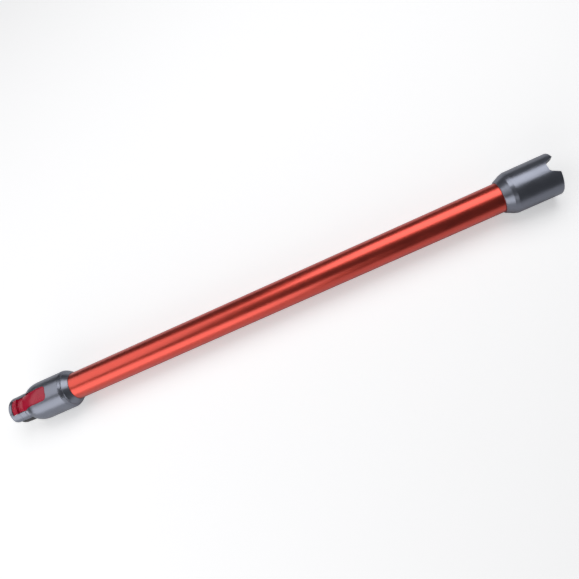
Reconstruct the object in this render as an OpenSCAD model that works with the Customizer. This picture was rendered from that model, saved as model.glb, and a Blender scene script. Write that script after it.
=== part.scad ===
// Extension wand of a cordless vacuum cleaner: an anodised aluminium tube between two grey collars.
// The upper collar ends in a spigot with a sprung red release button and a two-pin plug.
// The lower collar holds the socket, with a finger notch, a catch window and two contacts.
// Stations are measured along the wand from the tip of the spigot, heights from the wand's axis.

/* [Overall] */
// Length from the spigot's tip to the socket's rim
wand_len = 720; // [600:5:820]
// How far both collars stand out from the tube, on the radius
collar_rise = 7.1; // [6.8:0.1:7.6]
// Wall of the two grey collars
skin = 2.2; // [1.8:0.1:2.4]
// Radial gap between pieces that are pushed together
fit_gap = 0.1; // [0.05:0.01:0.15]

/* [Tube and wiring] */
// Outer diameter of the aluminium tube
tube_od = 35; // [32:0.5:38]
// Wall of the aluminium tube
tube_wall = 1; // [0.8:0.1:1.2]
// Diameter of one insulated wire
wire_d = 1.6; // [1.3:0.1:1.8]
// Distance between the two wires, pins and contacts
wire_pitch = 6.8; // [6:0.2:8]
// Thickness of the raceway's cover strip
race_wall = 1; // [0.8:0.1:1.2]
// Width of the raceway's channel for the wires
race_channel_w = 15; // [14:0.2:16]
// Thickness of the two tube gaskets
gasket_t = 1; // [0.8:0.1:1.5]

/* [Spigot] */
// How far the spigot's locating land stands out from the tube, on the radius
spigot_rise = 0.7; // [0.5:0.1:0.8]
// How far the spigot goes into a socket
spigot_len = 25.7; // [24:0.1:28]
// Length of the slimmer nose ahead of the land
nose_land = 13.2; // [12.5:0.1:14]
// Length of the locating land
land_len = 8; // [7:0.1:8.2]
// How much slimmer than the land the nose and the root are, on the radius
nose_relief = 0.3; // [0.25:0.05:0.5]
// Distance from the tongue's tip back to the end of the air duct
duct_setback = 7; // [6.5:0.1:8]
// Wall of the grey tongue round the button
tongue_wall = 2.1; // [1.9:0.1:2.3]
// Height above the axis of the tongue's two long edges
tongue_edge_z = 5.6; // [4.5:0.1:7]
// Radius of the tongue's corners, seen from the side
tongue_corner_r = 6; // [4:0.5:6.5]
// Wall of the air duct
duct_wall = 1.4; // [1.2:0.1:1.6]
// Depth of the duct's flat below the tongue's inside
duct_flat_drop = 3.9; // [3.7:0.1:4.3]
// Room for the button above that flat
button_room = 2.8; // [2.6:0.1:3]

/* [Upper collar] */
// Length of the domed shoulder from the spigot's root
shoulder_len = 15.8; // [12:0.1:18]
// Length from the spigot's root to the end of the full diameter
upper_collar_len = 53.3; // [50:0.1:58]
// Length of the tapered nose ring behind it
nose_ring_len = 10.6; // [9:0.1:14]
// Length of the nose ring's first band, before its groove
nose_band_len = 3.2; // [2.4:0.1:4]
// Fall of the first band on the radius
nose_band_drop = 1.3; // [0.8:0.1:1.8]
// Width of the groove between the nose ring's bands
nose_groove_w = 1.1; // [0.6:0.1:1.6]
// Depth of that groove
nose_groove_depth = 0.7; // [0.4:0.1:1]
// Lip left round the tube at the nose ring's mouth
nose_lip = 0.45; // [0.3:0.05:0.8]
// Wall of the sleeves and plugs inside the collars
sleeve_wall = 1.6; // [1.4:0.1:1.8]

/* [Release button] */
// Station of the button's front edge
button_x0 = 4.7; // [4.4:0.1:5.2]
// Length of the button
button_len = 55.8; // [54:0.1:57]
// Width of the button
button_w = 18.4; // [17.4:0.1:19]
// Radius of the button's rear corners, seen from above
button_rear_r = 6; // [4:0.5:8]
// Gap all round the button
button_gap = 0.35; // [0.3:0.05:0.45]
// Thickness of the button's shell
button_shell = 2; // [1.6:0.1:2.2]
// Width of each side skirt of the button
button_skirt = 1.6; // [1.4:0.1:1.8]
// Station of the catch face behind the ribbed ramp
catch_x = 13; // [12.6:0.1:13.2]
// Height of the catch above the spigot's land
catch_rise = 1.5; // [1.2:0.1:1.6]
// Number of ribs across the ramp
ramp_ribs = 3; // [2:1:4]
// Height of each rib
rib_h = 0.3; // [0.2:0.05:0.35]
// Station where the thumb pad begins
pad_x0 = 21.2; // [20.5:0.1:22]
// Length over which the pad rises to the collar's surface
pad_rise_len = 29; // [26:0.5:30]
// Distance of the hinge pin ahead of the button's rear end
hinge_back = 5; // [4.6:0.1:5.4]
// Depth of the hinge pin below the collar's surface
hinge_depth = 4; // [3.7:0.1:4.1]
// Diameter of the hinge pin
hinge_pin_d = 2; // [1.8:0.1:2.2]
// Radial running clearance of the button on the pin
hinge_play = 0.05; // [0.03:0.01:0.08]
// Thickness of the collar's walls beside the button
pocket_wall = 1.6; // [1.4:0.1:1.8]
// Station of the return spring
spring_x = 34; // [32:0.5:36]
// Outer diameter of the return spring
spring_od = 6.4; // [5.6:0.1:7]
// Wire of the return spring
spring_wire = 0.7; // [0.6:0.05:0.8]
// Turns of the return spring, with its two closed ends
spring_turns = 6; // [5:0.5:7]
// Height of the pegs that centre the spring
spring_peg_h = 1.8; // [1.2:0.1:2]

/* [Plug] */
// Diameter of the two plug pins
prong_d = 1.8; // [1.6:0.05:2]
// How far the pins stand out of the housing
prong_reach = 5.8; // [4.5:0.1:6.2]
// Width of the plug housing
plug_w = 14.8; // [13.6:0.2:16]
// Length of the plug housing
plug_len = 17; // [15:0.2:17.6]

/* [Lower collar] */
// Length of the lower collar
lower_len = 63; // [60:0.5:70]
// Lip of the lower collar round the tube
lower_lip = 1.7; // [1.4:0.1:2.2]
// Length of the steeper part of the lower cone
cone_len = 8.3; // [7:0.1:10]
// Rise of the steeper part of the cone on the radius
cone_rise = 4.1; // [3.6:0.1:4.4]
// Length of the shallower part that meets the full diameter
cone_blend_len = 4.3; // [3:0.1:6]
// Edge radius of the rim
rim_edge_r = 1; // [0.6:0.1:1.2]
// Play between a spigot and the socket on the radius
socket_play = 0.25; // [0.2:0.01:0.3]
// Depth of the liner's rim below the collar's rim
liner_inset = 0.5; // [0.3:0.1:0.8]
// Wall of the socket liner
liner_wall = 1.75; // [1.6:0.05:1.9]
// Depth of the finger notch
notch_depth = 10.5; // [9.5:0.1:11]
// Corner radius at the notch's bottom
notch_corner_r = 4.2; // [3.5:0.1:4.6]
// Half of the flat at the notch's bottom
notch_flat = 2.4; // [1.6:0.1:3]
// Flare of the notch's sides in degrees
notch_flare = 27; // [22:0.5:30]
// Wall of the liner round the notch
notch_wall = 1.5; // [1.2:0.1:1.8]
// Length that the catch window runs past the catch each way
window_play = 0.4; // [0.3:0.05:0.5]

/* [Screws] */
// Distance of the upper screws behind the spigot's root
upper_screw_back = 23.3; // [22:0.1:26]
// Distance of the lower screws from the rim
lower_screw_in = 15; // [13:0.5:17]
// Angle of the screws from the underside
screw_angle = 50; // [45:1:60]
// Diameter of the screw's shank
screw_d = 2.4; // [2:0.1:2.6]
// Diameter of the screw's head
screw_head_d = 4.8; // [4.4:0.1:5.2]
// Height of the screw's head
screw_head_h = 1.4; // [1.2:0.1:1.4]

/* [Hidden] */

grey = [0.44, 0.46, 0.53];
black = [0.09, 0.09, 0.11];
coral = [0.91, 0.33, 0.27];
red = [0.74, 0.02, 0.13];
steel = [0.72, 0.73, 0.75];
brass = [0.80, 0.64, 0.30];
fine = 96;
eps = 0.01;
slip = 0.03;
edge = 0.4;

tube_r = tube_od / 2;
bore_r = tube_r - tube_wall;
collar_r = tube_r + collar_rise;
hollow_r = collar_r - skin;
sleeve_bore_r = tube_r + fit_gap;
sleeve_r = sleeve_bore_r + sleeve_wall;
// A distance that clears every piece across the wand
clear = 2 * collar_r;

// Wires lie on the tube's inner wall; pins and contacts share their line
wire_y = wire_pitch / 2;
wire_z = sqrt(pow(bore_r - slip - wire_d / 2, 2) - pow(wire_y, 2));
race_top_z = wire_z - wire_d / 2 - 0.2 - race_wall;
low_flat_z = race_top_z - 0.2;

spigot_r = tube_r + spigot_rise;
nose_r = spigot_r - nose_relief;
land_x1 = nose_land + land_len;
tongue_bore_r = spigot_r - tongue_wall;
duct_flat_z = tongue_bore_r - duct_flat_drop;
duct_r = tongue_bore_r - fit_gap;
air_r = duct_r - duct_wall;
inner_sleeve_r = bore_r - fit_gap;
tube_air_r = inner_sleeve_r - duct_wall;

button_x1 = button_x0 + button_len;
pocket_x1 = button_x1 + button_gap;
tube_x0 = pocket_x1 + gasket_t + 0.15;
flange_t = 2;
flange_x0 = tube_x0 - gasket_t - flange_t;
insert_len = 14;
collar_x1 = spigot_len + upper_collar_len;
nose_x1 = collar_x1 + nose_ring_len;

lower_x0 = wand_len - lower_len;
socket_x0 = wand_len - spigot_len;
liner_floor_t = 3.3;
liner_x0 = socket_x0 - liner_floor_t;
liner_x1 = wand_len - liner_inset;
tube_x1 = liner_x0 - gasket_t;
socket_r = spigot_r + socket_play;
liner_r = socket_r + liner_wall;
relief_r = socket_r + 0.55;
block_x1 = socket_x0 + duct_setback - 0.3;
block_top_z = wire_z - 2.6;

hinge_x = button_x1 - hinge_back;
hinge_z = collar_r - hinge_depth;
hinge_r = hinge_pin_d / 2;
hinge_boss_r = hinge_r + 1.2;
hinge_half = button_w / 2 + button_gap + 1.1;
catch_r = spigot_r + catch_rise;
ramp_r0 = nose_r - 0.3;
floor_r = spigot_r - 0.8;
pad_r0 = nose_r - 0.05;
pad_r1 = collar_r - 0.3;
under_z = duct_flat_z + button_room;
spring_low_z = duct_flat_z;
spring_high_z = pad_r(spring_x - spring_od / 2 - 0.5) - button_shell;
prong_r = prong_d / 2;
contact_wall = 0.35;
screw_seat_r = collar_r - 0.3 - screw_head_h;
screw_x_upper = spigot_len + upper_screw_back;
screw_x_lower = wand_len - lower_screw_in;

// Radius of the shoulder's dome, a quarter of an ellipse from the spigot to the collar
function dome_r(x) = nose_r + (collar_r - nose_r)
    * sqrt(1 - pow(1 - min(1, (x - spigot_len) / shoulder_len), 2));
// Radius of the thumb pad, a quarter sine from the spigot to the collar
function pad_r(x) = pad_r0 + (pad_r1 - pad_r0)
    * sin(90 * min(1, (x - pad_x0) / pad_rise_len));
// Radius of the ramp ahead of the catch
function ramp_r(x) = ramp_r0 + (catch_r - ramp_r0) * (x - button_x0 - 0.6) / (catch_x - 0.6 - button_x0 - 0.6);
// Points of one rib that stands on the ramp
function rib(x, w) = [
    [ramp_r(x), x], [ramp_r(x) + rib_h, x + w / 4],
    [ramp_r(x) + rib_h, x + 3 * w / 4], [ramp_r(x + w), x + w]
];
function flat_list(a) = [for (b = a) each b];

module placed() {
    translate([-wand_len / 2, 0, collar_r]) children();
}

// Turns a profile of [radius, station] points round the wand's axis
module lathe(points) {
    rotate([0, 90, 0]) rotate_extrude($fn = fine) polygon(points);
}

module rod(r, x0, x1, y = 0, z = 0) {
    translate([x0, y, z]) rotate([0, 90, 0]) cylinder(r = r, h = x1 - x0, $fn = fine);
}

// Block given by its two corners
module block(low, high) {
    translate(low) cube(high - low);
}

// Solid bar of round section with a flat below and, if top is given, one above
module flatted_rod(r, x0, x1, low, top = clear) {
    intersection() {
        rod(r, x0, x1);
        block([x0 - 1, -clear, -low], [x1 + 1, clear, top]);
    }
}

module at_wires() {
    for (side = [-1, 1]) translate([0, side * wire_y, -wire_z]) children();
}

// Places children along a screw's line: +Z points outwards from the wand's axis
module at_screws(x) {
    for (side = [-1, 1]) translate([x, 0, 0]) rotate([180 + side * screw_angle, 0, 0]) children();
}

module screw(seat, tip) {
    difference() {
        union() {
            translate([0, 0, seat]) cylinder(d = screw_head_d, h = screw_head_h, $fn = 48);
            translate([0, 0, tip]) cylinder(d = screw_d, h = seat - tip + eps, $fn = 48);
        }
        for (turn = [0, 90]) rotate([0, 0, turn])
            translate([-1.3, -0.3, seat + screw_head_h - 0.8]) cube([2.6, 0.6, 1]);
    }
}

module screw_cut() {
    translate([0, 0, screw_seat_r]) cylinder(d = screw_head_d + 0.6, h = collar_r, $fn = 48);
    translate([0, 0, bore_r / 2]) cylinder(d = screw_d + 0.4, h = collar_r, $fn = 48);
}

// Plain section that tube, sleeves and raceway share, drawn across the axis
module across(x0, x1) {
    translate([x0, 0, 0]) rotate([90, 0, 90]) linear_extrude(x1 - x0) children();
}

module wand_tube() {
    color(coral) placed() difference() {
        rod(tube_r, tube_x0, tube_x1);
        rod(bore_r, tube_x0 - 1, tube_x1 + 1);
    }
}

module wire_raceway() {
    color(black) placed() across(tube_x0 + 0.3, tube_x1 - 0.3) {
        intersection() {
            circle(r = bore_r - slip, $fn = fine);
            difference() {
                translate([-clear, -clear]) square([2 * clear, clear - race_top_z]);
                translate([-race_channel_w / 2, -clear]) square([race_channel_w, clear - race_top_z - race_wall]);
            }
        }
        intersection() {
            circle(r = bore_r - slip, $fn = fine);
            translate([-0.6, -clear]) square([1.2, clear - race_top_z - race_wall / 2]);
        }
    }
}

module wire(side) {
    color(side > 0 ? "firebrick" : "black") placed()
        rod(wire_d / 2, duct_setback + plug_len - 3, socket_x0 - 1.5, side * wire_y, -wire_z);
}

module wire_positive() {
    wire(1);
}

module wire_negative() {
    wire(-1);
}

// Outline of the button seen from above, grown by a margin
module button_outline(grow) {
    half = button_w / 2 + grow;
    rear_r = button_rear_r + grow;
    union() {
        translate([button_x0 - grow, -half])
            square([button_len + 2 * grow - rear_r, 2 * half]);
        translate([button_x0, -half + rear_r])
            square([button_len + grow, 2 * (half - rear_r)]);
        for (side = [-1, 1]) translate([button_x1 + grow - rear_r, side * (half - rear_r)])
            circle(r = rear_r, $fn = fine);
    }
}

// The spigot's outer form as a full solid: nose, land and relieved root
module spigot_form(x1) {
    lathe([
        [0, 0], [nose_r - 0.8, 0], [nose_r - 0.25, 0.2], [nose_r, 0.8],
        [nose_r, nose_land - 0.6], [spigot_r, nose_land], [spigot_r, land_x1], [nose_r, land_x1 + 0.4],
        [nose_r, x1], [0, x1]
    ]);
}

// Outer form of the upper collar from the spigot's root to its full-diameter end
function dome(inset, start) = [
    for (k = [0:20])
        let (x = spigot_len + shoulder_len * (1 - cos(k * 4.5)))
        if (x + inset >= start) [dome_r(x) - inset, x + inset]
];

module collar_form() {
    spigot_form(spigot_len + eps);
    lathe(concat(
        [[0, spigot_len]], dome(0, 0),
        [[collar_r, collar_x1 - edge], [collar_r - edge / 2, collar_x1], [0, collar_x1]]
    ));
}

module collar_hollow() {
    rod(tongue_bore_r, -1, collar_x1 + 1);
    lathe(concat(
        [[0, spigot_len + skin]],
        [for (p = dome(skin, 0)) if (p[0] > tongue_bore_r) p],
        [[hollow_r, collar_x1 + 1], [0, collar_x1 + 1]]
    ));
}

module pocket_walls() {
    difference() {
        translate([0, 0, duct_flat_z + 1]) linear_extrude(collar_r) intersection() {
            button_outline(button_gap + pocket_wall);
            translate([spigot_len, -clear]) square([collar_x1, 2 * clear]);
        }
        rod(tongue_bore_r, 0, collar_x1);
        rod(tube_r + fit_gap, flange_x0 - 0.2, collar_x1);
    }
}

module tongue_trim() {
    r = tongue_corner_r;
    block([-1, -clear, -clear], [spigot_len, clear, tongue_edge_z]);
    difference() {
        block([-1, -clear, tongue_edge_z - 1], [r, clear, tongue_edge_z + r]);
        translate([r, 0, tongue_edge_z + r]) rotate([90, 0, 0])
            cylinder(r = r, h = 3 * clear, center = true, $fn = fine);
    }
}

module hinge_slot() {
    translate([hinge_x, 0, hinge_z]) rotate([90, 0, 0]) {
        cylinder(r = hinge_r + slip, h = 2 * hinge_half + 0.2, center = true, $fn = 48);
    }
    block([hinge_x - hinge_r * 0.85, -hinge_half - 0.1, 0], [hinge_x + hinge_r * 0.85, hinge_half + 0.1, hinge_z]);
}

module upper_cuff() {
    color(grey) placed() difference() {
        intersection() {
            collar_form();
            union() {
                difference() {
                    rod(collar_r + 1, -1, collar_x1 + 1);
                    collar_hollow();
                }
                pocket_walls();
                at_screws(screw_x_upper) translate([0, 0, hollow_r - 2.2]) cylinder(r = 3.6, h = 4, $fn = 48);
            }
        }
        tongue_trim();
        translate([0, 0, duct_flat_z]) linear_extrude(collar_r) button_outline(button_gap);
        hinge_slot();
        at_wires() rod(wire_d / 2 + fit_gap, spigot_len - 1, spigot_len + 2 * skin);
        at_screws(screw_x_upper) screw_cut();
    }
}

module upper_nose_ring() {
    x0 = collar_x1;
    band_r = collar_r - 0.3;
    groove_x = x0 + nose_band_len;
    plug_r = hollow_r - fit_gap;
    color(grey) placed() lathe([
        [sleeve_bore_r, tube_x0 + 4], [sleeve_r, tube_x0 + 4], [sleeve_r, x0 - 2.2],
        [plug_r - sleeve_wall, x0 - 2.2], [plug_r - sleeve_wall, x0 - 6], [plug_r, x0 - 6], [plug_r, x0],
        [band_r, x0], [band_r, x0 + edge], [band_r - nose_band_drop, groove_x],
        [band_r - nose_band_drop - nose_groove_depth, groove_x + 0.15],
        [band_r - nose_band_drop - nose_groove_depth, groove_x + nose_groove_w],
        [tube_r + nose_lip + 0.5, nose_x1 - 0.6], [tube_r + nose_lip, nose_x1], [sleeve_bore_r, nose_x1]
    ]);
}

// Lower skin of the spigot, from the tongue's edges round the underside
module duct_saddle() {
    intersection() {
        spigot_form(spigot_len);
        block([duct_setback, -clear, -clear], [spigot_len, clear, tongue_edge_z - fit_gap]);
    }
}

module upper_duct() {
    insert_x1 = tube_x0 + insert_len;
    color(black) placed() difference() {
        union() {
            flatted_rod(duct_r, duct_setback, flange_x0 + eps, low_flat_z, duct_flat_z);
            rod(tube_r, flange_x0, tube_x0 - gasket_t);
            flatted_rod(inner_sleeve_r, flange_x0, insert_x1, low_flat_z);
            duct_saddle();
            at_screws(screw_x_upper) translate([0, 0, air_r + 0.6])
                cylinder(r = 3, h = hollow_r - 2.4 - air_r - 0.6, $fn = 48);
            translate([spring_x, 0, duct_flat_z - 1])
                cylinder(r = spring_od / 2 - spring_wire - 0.3, h = spring_peg_h + 1, $fn = 48);
        }
        flatted_rod(air_r, duct_setback - 1, flange_x0, low_flat_z - duct_wall, duct_flat_z - duct_wall);
        flatted_rod(tube_air_r, flange_x0 - eps, insert_x1 + 1, low_flat_z - duct_wall);
        plug_form(fit_gap);
        at_wires() rod(wire_d / 2 + fit_gap, duct_setback, tube_x0);
        at_screws(screw_x_upper) translate([0, 0, air_r + 1]) cylinder(d = screw_d, h = collar_r, $fn = 48);
    }
}

module plug_form(grow) {
    top_z = wire_z - prong_r - 0.6 - grow;
    block(
        [-1, -plug_w / 2 - grow, -clear],
        [duct_setback + plug_len + grow, plug_w / 2 + grow, -top_z]
    );
}

module plug_housing() {
    color(black) placed() difference() {
        intersection() {
            spigot_form(spigot_len);
            plug_form(0);
            block([duct_setback, -clear, -clear], [spigot_len, clear, 0]);
        }
        at_wires() {
            rod(prong_r + slip, 0, spigot_len);
            rod(prong_r + 0.35 + slip, duct_setback + 3.5 - slip, duct_setback + 5 + slip);
        }
    }
}

module prong(side) {
    x0 = duct_setback - prong_reach;
    x1 = duct_setback + plug_len - 2;
    color(brass) placed() translate([0, side * wire_y, -wire_z]) difference() {
        union() {
            lathe([[0, x0], [prong_r * 0.55, x0], [prong_r, x0 + 0.9], [prong_r, x1], [0, x1]]);
            rod(prong_r + 0.35, duct_setback + 3.5, duct_setback + 5);
        }
        rod(wire_d / 2 + eps, x1 - 1, x1 + 1);
    }
}

module plug_prong_left() {
    prong(1);
}

module plug_prong_right() {
    prong(-1);
}

module gasket(x0) {
    color(black) placed() difference() {
        rod(tube_r - fit_gap, x0, x0 + gasket_t);
        rod(bore_r, x0 - 1, x0 + gasket_t + 1);
    }
}

module upper_gasket() {
    gasket(tube_x0 - gasket_t);
}

module lower_gasket() {
    gasket(tube_x1);
}

module upper_cuff_screws() {
    color(steel) placed() at_screws(screw_x_upper) screw(screw_seat_r, air_r + 1.4);
}

module lower_cuff_screws() {
    color(steel) placed() at_screws(screw_x_lower) screw(screw_seat_r, socket_r + 0.9);
}

// Side form of the button: the front hangs lower than the hinge end
module button_side() {
    translate([0, clear, 0]) rotate([90, 0, 0]) linear_extrude(2 * clear) polygon([
        [button_x0, under_z], [hinge_x - 4.5, under_z], [hinge_x - 1.2, hinge_z - hinge_boss_r],
        [button_x1, hinge_z - hinge_boss_r], [button_x1, clear], [button_x0, clear]
    ]);
}

module button_skin() {
    rib_w = 0.9;
    rib_gap = (catch_x - button_x0 - 2.4) / ramp_ribs;
    lathe(concat(
        [[0, button_x0], [ramp_r0 - 0.6, button_x0], [ramp_r0, button_x0 + 0.6]],
        flat_list([for (k = [0:ramp_ribs - 1]) rib(button_x0 + 1.2 + k * rib_gap, rib_w)]),
        [
            [catch_r, catch_x - 0.6], [catch_r, catch_x], [floor_r, catch_x + 0.2],
            [floor_r, catch_x + 3], [floor_r + rib_h, catch_x + 3.2],
            [floor_r + rib_h, catch_x + 3.7], [floor_r, catch_x + 3.9],
            [floor_r, pad_x0 - 1.2], [nose_r + 0.05, pad_x0 - 0.9], [nose_r + 0.05, pad_x0 - 0.2]
        ],
        [for (k = [0:20]) let (x = pad_x0 + k * pad_rise_len / 20) [pad_r(x), x]],
        [[pad_r1, button_x1 - 0.6], [pad_r1 - 0.6, button_x1], [0, button_x1]]
    ));
}

module button_cavity() {
    x0 = pad_x0 + 6;
    x1 = button_x1 - 2;
    intersection() {
        lathe(concat(
            [[0, x0]],
            [for (k = [0:12]) let (x = x0 + k * (x1 - x0) / 12) [pad_r(x) - button_shell, x]],
            [[0, x1]]
        ));
        block([x0 - 1, -button_w / 2 + button_skirt, 0], [x1 + 1, button_w / 2 - button_skirt, clear]);
    }
}

module release_button() {
    boss_half = button_w / 2 - button_skirt / 2;
    color(red) placed() difference() {
        union() {
            intersection() {
                difference() {
                    button_skin();
                    button_cavity();
                }
                button_side();
                linear_extrude(clear) button_outline(0);
            }
            intersection() {
                translate([hinge_x, 0, hinge_z]) rotate([90, 0, 0])
                    cylinder(r = hinge_boss_r, h = 2 * boss_half, center = true, $fn = 48);
                linear_extrude(clear) button_outline(0);
            }
            intersection() {
                translate([spring_x, 0, spring_high_z]) cylinder(r = spring_od / 2 + 0.5, h = 6, $fn = 48);
                button_skin();
            }
            translate([spring_x, 0, spring_high_z - spring_peg_h])
                cylinder(r = spring_od / 2 - spring_wire - 0.3, h = spring_peg_h + 0.5, $fn = 48);
        }
        translate([hinge_x, 0, hinge_z]) rotate([90, 0, 0])
            cylinder(r = hinge_r + hinge_play, h = clear, center = true, $fn = 48);
    }
}

module button_hinge_pin() {
    color(steel) placed() translate([hinge_x, 0, hinge_z]) rotate([90, 0, 0])
        cylinder(r = hinge_r, h = 2 * hinge_half, center = true, $fn = 48);
}

// Compression spring with closed ends: a round wire swept along a helix whose pitch eases out at both ends
module coil(turns, mean_r, wire_r, height) {
    sides = 8;
    per_turn = 16;
    rings = round(turns * per_turn);
    rise = height - 2 * wire_r;
    function lift(t) = let (u = t * turns, body = turns - 2)
        u < 1 ? 2 * wire_r * u * u / 2 + 0.02 * u
        : u > turns - 1 ? rise - 2 * wire_r * pow(turns - u, 2) / 2 - 0.02 * (turns - u)
        : wire_r + 0.02 + (rise - 2 * wire_r - 0.04) * (u - 1) / body;
    points = [
        for (k = [0:rings]) let (t = k / rings, a = 360 * turns * t)
            for (j = [0:sides - 1]) let (b = 360 * j / sides, r = mean_r + wire_r * cos(b))
                [r * cos(a), r * sin(a), wire_r + lift(t) + wire_r * sin(b)]
    ];
    walls = [
        for (k = [0:rings - 1]) for (j = [0:sides - 1])
            let (p = k * sides + j, q = k * sides + (j + 1) % sides)
                [p, q, q + sides, p + sides]
    ];
    ends = [[for (j = [sides - 1:-1:0]) j], [for (j = [0:sides - 1]) rings * sides + j]];
    polyhedron(points, concat([for (w = walls) [w[3], w[2], w[1], w[0]]], [for (e = ends) [for (j = [sides - 1:-1:0]) e[j]]]));
}

module button_spring() {
    color(steel) placed() translate([spring_x, 0, spring_low_z + slip])
        coil(spring_turns, (spring_od - spring_wire) / 2, spring_wire / 2, spring_high_z - spring_low_z - 2 * slip);
}

// Points of the finger notch's outline on one side: an arc at the bottom corner, then the flared side
function notch_side(grow, side) = let (
        r = notch_corner_r + grow,
        x0 = wand_len - notch_depth + notch_corner_r,
        turn = 90 - notch_flare,
        x1 = wand_len + 5,
        last = [x0 - r * cos(turn), notch_flat + r * sin(turn)]
    ) concat(
        [for (k = [0:8]) let (a = turn * k / 8) [x0 - r * cos(a), side * (notch_flat + r * sin(a))]],
        [[x1, side * (last[1] + (x1 - last[0]) * tan(notch_flare))]]
    );
function reversed(a) = [for (k = [len(a) - 1:-1:0]) a[k]];

// Outline of the finger notch seen from above, grown by a margin
module notch_outline(grow) {
    polygon(concat(notch_side(grow, 1), reversed(notch_side(grow, -1))));
}

module lower_form() {
    x0 = lower_x0;
    lathe([
        [0, x0], [tube_r + lower_lip - edge, x0], [tube_r + lower_lip, x0 + edge],
        [tube_r + lower_lip + cone_rise, x0 + edge + cone_len],
        [collar_r, x0 + edge + cone_len + cone_blend_len],
        [collar_r, wand_len - rim_edge_r],
        [collar_r - 0.3 * rim_edge_r, wand_len - 0.3 * rim_edge_r],
        [collar_r - rim_edge_r, wand_len], [0, wand_len]
    ]);
}

module lower_cuff() {
    cone_x1 = lower_x0 + edge + cone_len + cone_blend_len;
    color(grey) placed() difference() {
        lower_form();
        rod(sleeve_bore_r, lower_x0 - 1, wand_len + 1);
        lathe([
            [sleeve_r, cone_x1 - 5], [hollow_r, cone_x1 + 2.5], [hollow_r, wand_len + 1],
            [0, wand_len + 1], [0, tube_x1 - 8], [sleeve_r, tube_x1 - 8]
        ]);
        translate([0, 0, collar_r / 3]) linear_extrude(collar_r) notch_outline(0);
        at_screws(screw_x_lower) screw_cut();
    }
}

module liner_form() {
    flange_r = hollow_r - fit_gap;
    lathe([
        [0, liner_x0], [flange_r, liner_x0], [flange_r, socket_x0], [liner_r, socket_x0 + 0.6],
        [liner_r, liner_x1 - 2.5], [flange_r, liner_x1 - 2.5], [flange_r, liner_x1], [0, liner_x1]
    ]);
    flatted_rod(inner_sleeve_r, liner_x0 - gasket_t - insert_len, liner_x0 + eps, low_flat_z);
    intersection() {
        rod(flange_r, wand_len - notch_depth - notch_wall, liner_x1);
        translate([0, 0, collar_r / 3]) linear_extrude(collar_r) notch_outline(notch_wall);
    }
    at_screws(screw_x_lower) translate([0, 0, socket_r + 1]) cylinder(r = 3, h = hollow_r - socket_r - 1.3, $fn = 48);
}

// Space of the socket: a relieved inner end, the bore and a lead-in at the rim
module socket_space() {
    lathe([
        [0, socket_x0], [relief_r, socket_x0], [relief_r, block_x1 - 0.3], [socket_r, block_x1],
        [socket_r, liner_x1 - 1], [socket_r + 1, liner_x1], [socket_r + 1, wand_len + 1], [0, wand_len + 1]
    ]);
}

module socket_liner() {
    catch_back = socket_x0 + button_x0 - window_play;
    catch_front = socket_x0 + catch_x + window_play;
    color(black) placed() difference() {
        liner_form();
        socket_space();
        flatted_rod(tube_air_r, liner_x0 - 40, wand_len, low_flat_z - duct_wall);
        translate([0, 0, collar_r / 3]) linear_extrude(collar_r) notch_outline(0);
        block(
            [catch_back, -button_w / 2 - 0.8, duct_flat_z],
            [catch_front, button_w / 2 + 0.8, liner_r + 1]
        );
        at_wires() rod(prong_r + contact_wall + slip * 2, liner_x0 - 1, socket_x0 + 1);
        at_screws(screw_x_lower) translate([0, 0, socket_r + 0.7]) cylinder(d = screw_d, h = collar_r, $fn = 48);
    }
}

module contact_block() {
    color(black) placed() difference() {
        intersection() {
            rod(relief_r - fit_gap, socket_x0, block_x1 - 0.5);
            block([socket_x0 - 1, -clear, -clear], [block_x1 + 1, clear, -block_top_z]);
        }
        at_wires() {
            rod(prong_r + 0.1, socket_x0 - 1, block_x1 + 1);
            rod(prong_r + contact_wall + slip * 2, socket_x0 - 1, block_x1 - 1.5);
        }
    }
}

module socket_contact(side) {
    x0 = liner_x0 + 0.5;
    x1 = block_x1 - 1.6;
    color(brass) placed() translate([0, side * wire_y, -wire_z]) difference() {
        rod(prong_r + contact_wall, x0, x1);
        rod(prong_r + slip, socket_x0 - 0.5, x1 + 1);
        rod(wire_d / 2 + eps, x0 - 1, socket_x0 - 1.5);
    }
}

module socket_contact_left() {
    socket_contact(1);
}

module socket_contact_right() {
    socket_contact(-1);
}

wand_tube();
wire_raceway();
wire_positive();
wire_negative();
upper_cuff();
upper_nose_ring();
upper_duct();
upper_gasket();
upper_cuff_screws();
release_button();
button_hinge_pin();
button_spring();
plug_housing();
plug_prong_left();
plug_prong_right();
lower_cuff();
socket_liner();
lower_gasket();
lower_cuff_screws();
contact_block();
socket_contact_left();
socket_contact_right();
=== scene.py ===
"""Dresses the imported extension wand: finishes, floor, lamps and camera."""

import math

import bpy
import numpy as np
from bpy.props import FloatProperty, FloatVectorProperty, PointerProperty
from mathutils import Matrix, Vector


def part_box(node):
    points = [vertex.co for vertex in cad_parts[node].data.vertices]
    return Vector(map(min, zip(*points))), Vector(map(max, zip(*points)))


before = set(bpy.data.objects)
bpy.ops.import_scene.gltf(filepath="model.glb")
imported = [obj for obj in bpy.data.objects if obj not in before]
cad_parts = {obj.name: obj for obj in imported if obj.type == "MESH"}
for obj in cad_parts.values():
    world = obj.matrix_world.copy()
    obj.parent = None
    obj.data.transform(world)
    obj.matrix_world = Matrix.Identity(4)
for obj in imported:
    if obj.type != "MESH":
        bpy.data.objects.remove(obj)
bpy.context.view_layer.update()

bl_info = {
    "name": "Vacuum extension wand",
    "version": (1, 0, 0),
    "blender": (4, 5, 0),
    "location": "View3D > Sidebar > Wand",
    "description": "Finishes, lamps and camera for the extension wand of a cordless vacuum cleaner",
    "category": "Object",
}

MM = 0.001
# The wand's axis in the frame, and the station of the spigot's tip
AXIS_Z = sum(c[2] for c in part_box("wand_tube")) / 2
TIP_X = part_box("upper_cuff")[0][0]
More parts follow.
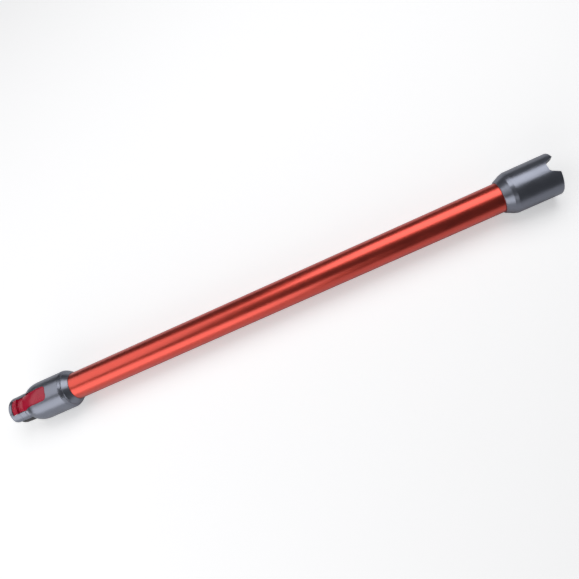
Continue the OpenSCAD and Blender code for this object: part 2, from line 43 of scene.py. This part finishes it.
# Width of the picture that the camera was fitted to, and how far its middle is off the lens
PICTURE_PX = 579
SHIFT_PX = (-20.0, -7.5)
SENSOR_MM = 36.0
# Cosine and sine of the wand's slope in the picture, 24 degrees
SLOPE_COS, SLOPE_SIN = 0.91368337, 0.40642675
# Half the width of the floor in metres, its grid points along a side, and its glow in camera rays
FLOOR_HALF = 3.0
FLOOR_POINTS = 13
FLOOR_GLOW = 0.42


class WandSizes(bpy.types.PropertyGroup):
    """Sizes that the finishes use"""
    edge_round: FloatProperty(
        name="Edge rounding", description="Radius of the moulded edges on the collars",
        default=0.00035, min=0.0001, max=0.001, unit="LENGTH")


class WandColours(bpy.types.PropertyGroup):
    """Colours of the wand's finishes"""
    tube: FloatVectorProperty(
        name="Tube", description="Colour of the anodised aluminium", subtype="COLOR", size=3,
        default=(0.78, 0.088, 0.060), min=0, max=1)
    collar: FloatVectorProperty(
        name="Collars", description="Colour of the metallic grey plastic", subtype="COLOR", size=3,
        default=(0.255, 0.27, 0.325), min=0, max=1)
    button: FloatVectorProperty(
        name="Button", description="Colour of the release button", subtype="COLOR", size=3,
        default=(0.50, 0.004, 0.036), min=0, max=1)
    black: FloatVectorProperty(
        name="Black parts", description="Colour of the duct, liner and plug", subtype="COLOR", size=3,
        default=(0.016, 0.016, 0.02), min=0, max=1)


class WandStage(bpy.types.PropertyGroup):
    """Floor, lamps and camera"""
    lens_px: FloatProperty(
        name="Focal length in pixels", description="Focal length for a picture 579 pixels wide",
        default=494.3, min=300, max=900)
    roll: FloatProperty(
        name="Roll of the wand", description="How far the button is turned from the camera's direction",
        default=math.radians(22), subtype="ANGLE")
    tilt: FloatProperty(
        name="Tilt of the wand", description="How far the socket end leans towards the camera",
        default=math.radians(7.39), subtype="ANGLE")
    distance: FloatProperty(
        name="Camera distance", description="From the camera to the wand's axis", default=0.5932, unit="LENGTH")
    aim: FloatProperty(
        name="Aimed at", description="Distance from the spigot's tip to the point that the camera aims at",
        default=0.4188, unit="LENGTH")
    floor: FloatVectorProperty(
        name="Floor", description="Colour of the floor", subtype="COLOR", size=3,
        default=(0.86, 0.86, 0.87), min=0, max=1)


def node_group(name, inputs, outputs):
    """An empty shader node group with these sockets; each is (name, type, default)."""
    group = bpy.data.node_groups.new(name, "ShaderNodeTree")
    kinds = {"f": "NodeSocketFloat", "c": "NodeSocketColor", "v": "NodeSocketVector"}
    for label, kind, value in inputs:
        socket = group.interface.new_socket(name=label, in_out="INPUT", socket_type=kinds[kind])
        if value is not None:
            socket.default_value = value
    for label, kind in outputs:
        group.interface.new_socket(name=label, in_out="OUTPUT", socket_type=kinds[kind])
    return group


def add(tree, kind, **settings):
    """A node of that kind, with attributes and, by their names, input values set."""
    node = tree.nodes.new(kind)
    for key, value in settings.items():
        if key == "inputs":
            for label, v in value.items():
                node.inputs[label].default_value = v
        else:
            setattr(node, key, value)
    return node


def wire(tree, *pairs):
    """Links (node, output) to (node, input) for each four values given."""
    for a, out, b, into in pairs:
        tree.links.new(a.outputs[out], b.inputs[into])


def grain_group():
    """Fine moulded grain as a height, and broad patches as a mask from 0 to 1."""
    group = node_group(
        "Moulded grain",
        [("Vector", "v", None), ("Scale", "f", 1500.0), ("Stretch", "v", (1, 1, 1))],
        [("Height", "f"), ("Mask", "f")])
    given = add(group, "NodeGroupInput")
    out = add(group, "NodeGroupOutput")
    stretch = add(group, "ShaderNodeVectorMath", operation="MULTIPLY")
    fine = add(group, "ShaderNodeTexNoise", inputs={"Detail": 3.0, "Roughness": 0.6})
    broad = add(group, "ShaderNodeTexNoise", inputs={"Scale": 60.0, "Detail": 2.0, "Roughness": 0.5})
    wire(group,
         (given, "Vector", stretch, 0), (given, "Stretch", stretch, 1),
         (stretch, 0, fine, "Vector"), (given, "Scale", fine, "Scale"),
         (given, "Vector", broad, "Vector"),
         (fine, "Fac", out, "Height"), (broad, "Fac", out, "Mask"))
    return group


def edge_rub_and_highlight_group():
    """Edges lightened: the rounded normal of a Bevel node against the true one gives a mask that is 1 on edges;
    broken into noise patches it marks rubbed edges and a painted edge highlight.
    """
    group = node_group(
        "Rubbed edge and painted highlight",
        [("Radius", "f", 0.0004), ("Amount", "f", 1.0), ("Vector", "v", None)],
        [("Normal", "v"), ("Mask", "f")])
    given = add(group, "NodeGroupInput")
    out = add(group, "NodeGroupOutput")
    bevel = add(group, "ShaderNodeBevel", samples=6)
    flat = add(group, "ShaderNodeNewGeometry")
    dot = add(group, "ShaderNodeVectorMath", operation="DOT_PRODUCT")
    away = add(group, "ShaderNodeMapRange", inputs={"From Min": 0.995, "From Max": 0.85})
    patches = add(group, "ShaderNodeTexNoise", inputs={"Scale": 180.0, "Detail": 4.0})
    patchy = add(group, "ShaderNodeMapRange", inputs={"From Min": 0.42, "From Max": 0.62})
    both = add(group, "ShaderNodeMath", operation="MULTIPLY")
    scaled = add(group, "ShaderNodeMath", operation="MULTIPLY")
    wire(group,
         (given, "Radius", bevel, "Radius"), (bevel, 0, dot, 0), (flat, "Normal", dot, 1),
         (dot, "Value", away, "Value"), (given, "Vector", patches, "Vector"),
         (patches, "Fac", patchy, "Value"), (away, 0, both, 0), (patchy, 0, both, 1),
         (both, 0, scaled, 0), (given, "Amount", scaled, 1),
         (scaled, 0, out, "Mask"), (bevel, 0, out, "Normal"))
    return group


def group_node(tree, group, **inputs):
    """A node of that shader group with these input values; an underscore stands for a space."""
    node = tree.nodes.new("ShaderNodeGroup")
    node.node_tree = bpy.data.node_groups[group]
    for label, value in inputs.items():
        node.inputs[label.replace("_", " ")].default_value = value
    return node


def moulded(name, colour, metallic=0.0, rough=(0.3, 0.4), grain=1500.0, stretch=(1, 1, 1), bump=0.02,
            shade=0.12, rub_and_highlight=None, radius=0.0004, **sockets):
    """A moulded or metal finish: grain in the bump, slow changes of colour and gloss, and edges lightened by
    rubbing and by a painted edge highlight.
    """
    material = bpy.data.materials.new(name)
    material.use_nodes = True
    tree = material.node_tree
    shader = tree.nodes["Principled BSDF"]
    shader.inputs["Metallic"].default_value = metallic
    for label, value in sockets.items():
        shader.inputs[label.replace("_", " ")].default_value = value
    place = add(tree, "ShaderNodeTexCoord")
    grained = group_node(tree, "Moulded grain", Scale=grain, Stretch=stretch)
    edge = group_node(tree, "Rubbed edge and painted highlight", Radius=radius, Amount=1.0 if rub_and_highlight else 0.0)
    tone = add(tree, "ShaderNodeMix", data_type="RGBA")
    tone.inputs["A"].default_value = (*[c * (1 - shade) for c in colour], 1)
    tone.inputs["B"].default_value = (*[min(1, c * (1 + shade)) for c in colour], 1)
    # Lighter colour on the edges: rubbed edges and a painted edge highlight
    rub_and_highlight_mix = add(tree, "ShaderNodeMix", data_type="RGBA")
    rub_and_highlight_mix.inputs["B"].default_value = (*(rub_and_highlight or colour), 1)
    gloss = add(tree, "ShaderNodeMapRange", inputs={
        "From Min": 0.3, "From Max": 0.7, "To Min": rough[0], "To Max": rough[1]})
    height = add(tree, "ShaderNodeBump", inputs={"Strength": 1.0, "Distance": bump * MM})
    wire(tree,
         (place, "Object", grained, "Vector"), (place, "Object", edge, "Vector"),
         (grained, "Mask", tone, "Factor"), (tone, "Result", rub_and_highlight_mix, "A"), (edge, "Mask", rub_and_highlight_mix, "Factor"),
         (rub_and_highlight_mix, "Result", shader, "Base Color"),
         (grained, "Mask", gloss, "Value"), (gloss, 0, shader, "Roughness"),
         (grained, "Height", height, "Height"), (edge, "Normal", height, "Normal"),
         (height, "Normal", shader, "Normal"))
    return material


def dress(node, material):
    """Puts one material on every slot of a CAD node."""
    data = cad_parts[node].data
    data.materials.clear()
    data.materials.append(material)


class WAND_OT_effects(bpy.types.Operator):
    """Builds the shader groups that the finishes share"""
    bl_idname = "wand.effects"
    bl_label = "Shared effects"

    def execute(self, context):
        grain_group()
        edge_rub_and_highlight_group()
        return {"FINISHED"}


class WAND_OT_finishes(bpy.types.Operator):
    """Gives every CAD node its finish"""
    bl_idname = "wand.finishes"
    bl_label = "Finishes"

    def execute(self, context):
        c = context.scene.wand_colours
        r = context.scene.wand_sizes.edge_round
        tube = moulded("Coral anodised aluminium", c.tube, metallic=1.0, rough=(0.30, 0.36), grain=2600.0,
                       stretch=(0.04, 1, 1), bump=0.004, shade=0.04, radius=r, Coat_Weight=0.6,
                       Coat_Roughness=0.22)
        # Each edge colour given below is lighter than its finish: rubbed edges and a painted edge highlight
        grey = moulded("Metallic grey plastic", c.collar, metallic=0.9, rough=(0.27, 0.33), grain=2200.0,
                       bump=0.006, shade=0.05, radius=r, rub_and_highlight=(0.42, 0.43, 0.47))
        red = moulded("Red button plastic", c.button, rough=(0.22, 0.30), grain=1800.0, bump=0.006,
                      shade=0.05, radius=r, rub_and_highlight=(0.62, 0.03, 0.07), IOR=1.5)
        black = moulded("Black nylon", c.black, rough=(0.36, 0.5), grain=1400.0, bump=0.02, shade=0.2,
                        radius=r, rub_and_highlight=(0.05, 0.05, 0.055))
        rubber = moulded("Seal rubber", (0.012, 0.012, 0.013), rough=(0.6, 0.75), grain=900.0, bump=0.03,
                         shade=0.25)
        steel = moulded("Screw steel", (0.58, 0.58, 0.6), metallic=1.0, rough=(0.25, 0.36), grain=1600.0,
                        bump=0.004, shade=0.08, radius=r, rub_and_highlight=(0.75, 0.75, 0.76))
        spring = moulded("Spring steel", (0.42, 0.42, 0.45), metallic=1.0, rough=(0.2, 0.3), grain=2000.0,
                         bump=0.003, shade=0.1)
        brass = moulded("Contact brass", (0.82, 0.58, 0.24), metallic=1.0, rough=(0.2, 0.32), grain=1700.0,
                        bump=0.004, shade=0.1)
        red_wire = moulded("Red wire insulation", (0.45, 0.015, 0.012), rough=(0.35, 0.45), bump=0.004)
        black_wire = moulded("Black wire insulation", (0.02, 0.02, 0.02), rough=(0.35, 0.45), bump=0.004)
        for material, nodes in (
            (tube, ["wand_tube"]),
            (grey, ["upper_cuff", "upper_nose_ring", "lower_cuff"]),
            (red, ["release_button"]),
            (black, ["upper_duct", "wire_raceway", "plug_housing", "socket_liner", "contact_block"]),
            (rubber, ["upper_gasket", "lower_gasket"]),
            (steel, ["upper_cuff_screws", "lower_cuff_screws", "button_hinge_pin"]),
            (spring, ["button_spring"]),
            (brass, ["plug_prong_left", "plug_prong_right", "socket_contact_left", "socket_contact_right"]),
            (red_wire, ["wire_positive"]),
            (black_wire, ["wire_negative"]),
        ):
            for node in nodes:
                dress(node, material)
        return {"FINISHED"}


def lamp(name, place, aim, size, radiance):
    """A rectangular lamp of that size in metres, whose face has that radiance."""
    data = bpy.data.lights.new(name, "AREA")
    data.shape = "RECTANGLE"
    data.size, data.size_y = size
    data.energy = radiance * math.pi * size[0] * size[1]
    lamp_object = bpy.data.objects.new(name, data)
    bpy.context.scene.collection.objects.link(lamp_object)
    lamp_object.location = place
    lamp_object.rotation_euler = (Vector(aim) - Vector(place)).to_track_quat("-Z", "Y").to_euler()


class WAND_OT_stage(bpy.types.Operator):
    """Lays the floor and sets the lamps, the world and the camera"""
    bl_idname = "wand.stage"
    bl_label = "Stage"

    def floor(self, stage):
        """A flat square grid 6 m wide, just below the wand."""
        side = np.linspace(-FLOOR_HALF, FLOOR_HALF, FLOOR_POINTS)
        x, y = np.meshgrid(side, side, indexing="ij")
        verts = np.stack([x, y, np.zeros_like(x)], axis=-1).reshape(-1, 3)
        n = FLOOR_POINTS
        k = np.arange((n - 1) * n).reshape(n - 1, n)[:, :-1].reshape(-1)
        faces = np.stack([k, k + n, k + n + 1, k + 1], axis=-1)
        mesh = bpy.data.meshes.new("floor")
        mesh.from_pydata(verts.tolist(), [], faces.tolist())
        floor = bpy.data.objects.new("floor", mesh)
        bpy.context.scene.collection.objects.link(floor)
        material = bpy.data.materials.new("Plain pale floor")
        material.use_nodes = True
        tree = material.node_tree
        shader = tree.nodes["Principled BSDF"]
        shader.inputs["Base Color"].default_value = (*stage.floor, 1)
        shader.inputs["Roughness"].default_value = 0.9
        shader.inputs["Specular IOR Level"].default_value = 0.0
        shader.inputs["Emission Color"].default_value = (1, 1, 1, 1)
        path = add(tree, "ShaderNodeLightPath")
        seen = add(tree, "ShaderNodeMath", operation="MULTIPLY", inputs={1: FLOOR_GLOW})
        wire(tree, (path, "Is Camera Ray", seen, 0), (seen, 0, shader, "Emission Strength"))
        mesh.materials.append(material)

    def world(self):
        world = bpy.data.worlds.new("Studio")
        world.use_nodes = True
        tree = world.node_tree
        back = tree.nodes["Background"]
        back.inputs["Color"].default_value = (0.93, 0.96, 1.0, 1)
        path = add(tree, "ShaderNodeLightPath")
        level = add(tree, "ShaderNodeMapRange", inputs={"To Min": 0.07, "To Max": 1.0})
        wire(tree, (path, "Is Camera Ray", level, "Value"), (level, 0, back, "Strength"))
        bpy.context.scene.world = world

    def camera(self, stage):
        """Pinhole camera: the wand's axis runs 24 degrees up to the right through the aim point."""
        t, r = stage.tilt, stage.roll
        across = Vector((math.cos(t), math.sin(r) * math.sin(t), -math.sin(t) * math.cos(r)))
        down = Vector((0, -math.cos(r), -math.sin(r)))
        ahead = Vector((-math.sin(t), math.sin(r) * math.cos(t), -math.cos(t) * math.cos(r)))
        right = SLOPE_COS * across + SLOPE_SIN * down
        up = SLOPE_SIN * across - SLOPE_COS * down
        aim = Vector((TIP_X + stage.aim, 0, AXIS_Z))
        data = bpy.data.cameras.new("Camera")
        data.sensor_width = SENSOR_MM
        data.lens = stage.lens_px / PICTURE_PX * SENSOR_MM
        data.shift_x, data.shift_y = SHIFT_PX[0] / PICTURE_PX, SHIFT_PX[1] / PICTURE_PX
        data.clip_start, data.clip_end = 0.01, 20
        camera = bpy.data.objects.new("Camera", data)
        bpy.context.scene.collection.objects.link(camera)
        turn = Matrix((right, up, -ahead)).transposed()
        camera.matrix_world = Matrix.Translation(aim - stage.distance * ahead) @ turn.to_4x4()
        bpy.context.scene.camera = camera

    def execute(self, context):
        stage = context.scene.wand_stage
        self.floor(stage)
        self.world()
        lamp("Top softbox", (0.40, 0.45, 1.05), (0.2, 0, 0.02), (1.15, 0.95), 2.0)
        lamp("Left softbox", (-0.95, 0.25, 0.95), (-0.25, 0, 0.02), (1.2, 1.2), 1.1)
        lamp("Front softbox", (-0.70, -0.85, 0.42), (-0.25, 0, 0.02), (1.4, 0.8), 1.5)
        self.camera(stage)
        return {"FINISHED"}


class WAND_PT_panel(bpy.types.Panel):
    """Lists the wand's operators"""
    bl_label = "Extension wand"
    bl_idname = "WAND_PT_panel"
    bl_space_type = "VIEW_3D"
    bl_region_type = "UI"
    bl_category = "Wand"

    def draw(self, context):
        for operator in OPERATORS:
            self.layout.operator(operator.bl_idname)


OPERATORS = [WAND_OT_effects, WAND_OT_finishes, WAND_OT_stage]
CLASSES = [WandSizes, WandColours, WandStage, *OPERATORS, WAND_PT_panel]


def register():
    for cls in CLASSES:
        bpy.utils.register_class(cls)
    bpy.types.Scene.wand_sizes = PointerProperty(type=WandSizes)
    bpy.types.Scene.wand_colours = PointerProperty(type=WandColours)
    bpy.types.Scene.wand_stage = PointerProperty(type=WandStage)


def unregister():
    del bpy.types.Scene.wand_stage
    del bpy.types.Scene.wand_colours
    del bpy.types.Scene.wand_sizes
    for cls in reversed(CLASSES):
        bpy.utils.unregister_class(cls)


def main():
    register()
    bpy.context.scene.view_settings.view_transform = "Standard"
    for operator in OPERATORS:
        group, name = operator.bl_idname.split(".")
        getattr(getattr(bpy.ops, group), name)()


if __name__ == "__main__":
    main()
